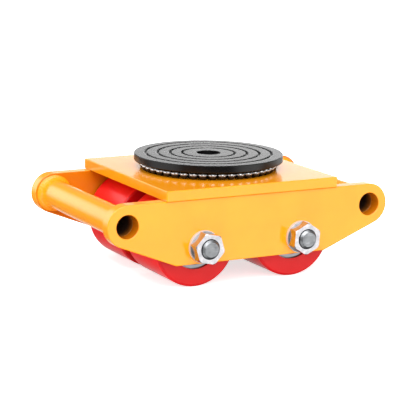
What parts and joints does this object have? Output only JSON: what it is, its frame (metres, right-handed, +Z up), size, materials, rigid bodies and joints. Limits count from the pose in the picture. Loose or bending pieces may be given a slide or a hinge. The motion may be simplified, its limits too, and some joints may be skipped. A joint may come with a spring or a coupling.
{
  "type": "machine skate",
  "caption": "Low welded steel skate on urethane rollers with a swivelling round load pad, eared side plates and tie tubes for moving heavy machines.",
  "frame": {"origin": "on the floor under the middle of the deck, at the bottom centre of the part's box", "axes": "+X is the way the skate rolls, along the side plates, +Y runs along the axles, +Z is up out of the load pad"},
  "size_m": [0.3, 0.2144, 0.1119],
  "materials": {
    "yellow_paint": "glossy yellow-orange powder coat on steel",
    "red_urethane": "satin red cast polyurethane",
    "machined_steel": "turned steel, lightly oiled",
    "zinc_plate": "bright zinc plate on steel",
    "bearing_steel": "polished bearing steel",
    "bearing_cage": "machined brass cage",
    "spring_steel": "black-oiled spring steel",
    "black_oxide": "black-oxided steel, lightly oiled",
    "black_rubber": "black moulded rubber with a slight sheen"
  },
  "bodies": {
    "carriage": {"right_side_plate": "yellow_paint", "left_side_plate": "yellow_paint", "deck_plate": "yellow_paint", "deck_welds": "yellow_paint", "front_tie_tube": "yellow_paint", "rear_tie_tube": "yellow_paint", "front_tie_welds": "yellow_paint", "rear_tie_welds": "yellow_paint", "front_axle": "machined_steel", "front_axle_spacers": "machined_steel", "front_axle_washers": "zinc_plate", "front_axle_nuts": "zinc_plate", "rear_axle": "machined_steel", "rear_axle_spacers": "machined_steel", "rear_axle_washers": "zinc_plate", "rear_axle_nuts": "zinc_plate", "front_right_bearing_inner_rings": "bearing_steel", "front_right_bearing_sleeve": "machined_steel", "front_left_bearing_inner_rings": "bearing_steel", "front_left_bearing_sleeve": "machined_steel", "rear_right_bearing_inner_rings": "bearing_steel", "rear_right_bearing_sleeve": "machined_steel", "rear_left_bearing_inner_rings": "bearing_steel", "rear_left_bearing_sleeve": "machined_steel"},
    "front_right_roller": {"front_right_tyre": "red_urethane", "front_right_core": "machined_steel", "front_right_bearing_outer_rings": "bearing_steel", "front_right_bearing_shields": "bearing_steel"},
    "front_right_bearing_set": {"front_right_bearing_balls": "bearing_steel", "front_right_bearing_cages": "bearing_cage"},
    "front_left_roller": {"front_left_tyre": "red_urethane", "front_left_core": "machined_steel", "front_left_bearing_outer_rings": "bearing_steel", "front_left_bearing_shields": "bearing_steel"},
    "front_left_bearing_set": {"front_left_bearing_balls": "bearing_steel", "front_left_bearing_cages": "bearing_cage"},
    "rear_right_roller": {"rear_right_tyre": "red_urethane", "rear_right_core": "machined_steel", "rear_right_bearing_outer_rings": "bearing_steel", "rear_right_bearing_shields": "bearing_steel"},
    "rear_right_bearing_set": {"rear_right_bearing_balls": "bearing_steel", "rear_right_bearing_cages": "bearing_cage"},
    "rear_left_roller": {"rear_left_tyre": "red_urethane", "rear_left_core": "machined_steel", "rear_left_bearing_outer_rings": "bearing_steel", "rear_left_bearing_shields": "bearing_steel"},
    "rear_left_bearing_set": {"rear_left_bearing_balls": "bearing_steel", "rear_left_bearing_cages": "bearing_cage"},
    "swivel": {"rubber_pad": "black_rubber", "swivel_plate": "black_oxide", "pivot_tube": "black_oxide", "thrust_washer": "machined_steel", "retaining_ring": "spring_steel"},
    "thrust_ball_ring": {"thrust_balls": "bearing_steel"}
  },
  "joints": [
    {"name": "front_right_roller_spin", "type": "hinge", "parent": "carriage", "child": "front_right_roller", "pos_m": [0.0522, -0.0428, 0.042], "axis": [0, 1, 0], "continuous": true},
    {"name": "front_right_bearing_run", "type": "hinge", "parent": "carriage", "child": "front_right_bearing_set", "pos_m": [0.0522, -0.0428, 0.042], "axis": [0, 1, 0], "continuous": true},
    {"name": "front_left_roller_spin", "type": "hinge", "parent": "carriage", "child": "front_left_roller", "pos_m": [0.0522, 0.0428, 0.042], "axis": [0, 1, 0], "continuous": true},
    {"name": "front_left_bearing_run", "type": "hinge", "parent": "carriage", "child": "front_left_bearing_set", "pos_m": [0.0522, 0.0428, 0.042], "axis": [0, 1, 0], "continuous": true},
    {"name": "rear_right_roller_spin", "type": "hinge", "parent": "carriage", "child": "rear_right_roller", "pos_m": [-0.0522, -0.0428, 0.042], "axis": [0, 1, 0], "continuous": true},
    {"name": "rear_right_bearing_run", "type": "hinge", "parent": "carriage", "child": "rear_right_bearing_set", "pos_m": [-0.0522, -0.0428, 0.042], "axis": [0, 1, 0], "continuous": true},
    {"name": "rear_left_roller_spin", "type": "hinge", "parent": "carriage", "child": "rear_left_roller", "pos_m": [-0.0522, 0.0428, 0.042], "axis": [0, 1, 0], "continuous": true},
    {"name": "rear_left_bearing_run", "type": "hinge", "parent": "carriage", "child": "rear_left_bearing_set", "pos_m": [-0.0522, 0.0428, 0.042], "axis": [0, 1, 0], "continuous": true},
    {"name": "swivel_turn", "type": "hinge", "parent": "carriage", "child": "swivel", "pos_m": [0, 0, 0.101], "axis": [0, 0, 1], "continuous": true},
    {"name": "thrust_ball_run", "type": "hinge", "parent": "carriage", "child": "thrust_ball_ring", "pos_m": [0, 0, 0.101], "axis": [0, 0, 1], "continuous": true}
  ],
  "couplings": [
    {"joint": "front_right_bearing_run", "follows": "front_right_roller_spin", "ratio": 0.6185},
    {"joint": "front_left_bearing_run", "follows": "front_left_roller_spin", "ratio": 0.6185},
    {"joint": "rear_right_bearing_run", "follows": "rear_right_roller_spin", "ratio": 0.6185},
    {"joint": "rear_left_bearing_run", "follows": "rear_left_roller_spin", "ratio": 0.6185},
    {"joint": "thrust_ball_run", "follows": "swivel_turn", "ratio": 0.5}
  ]
}
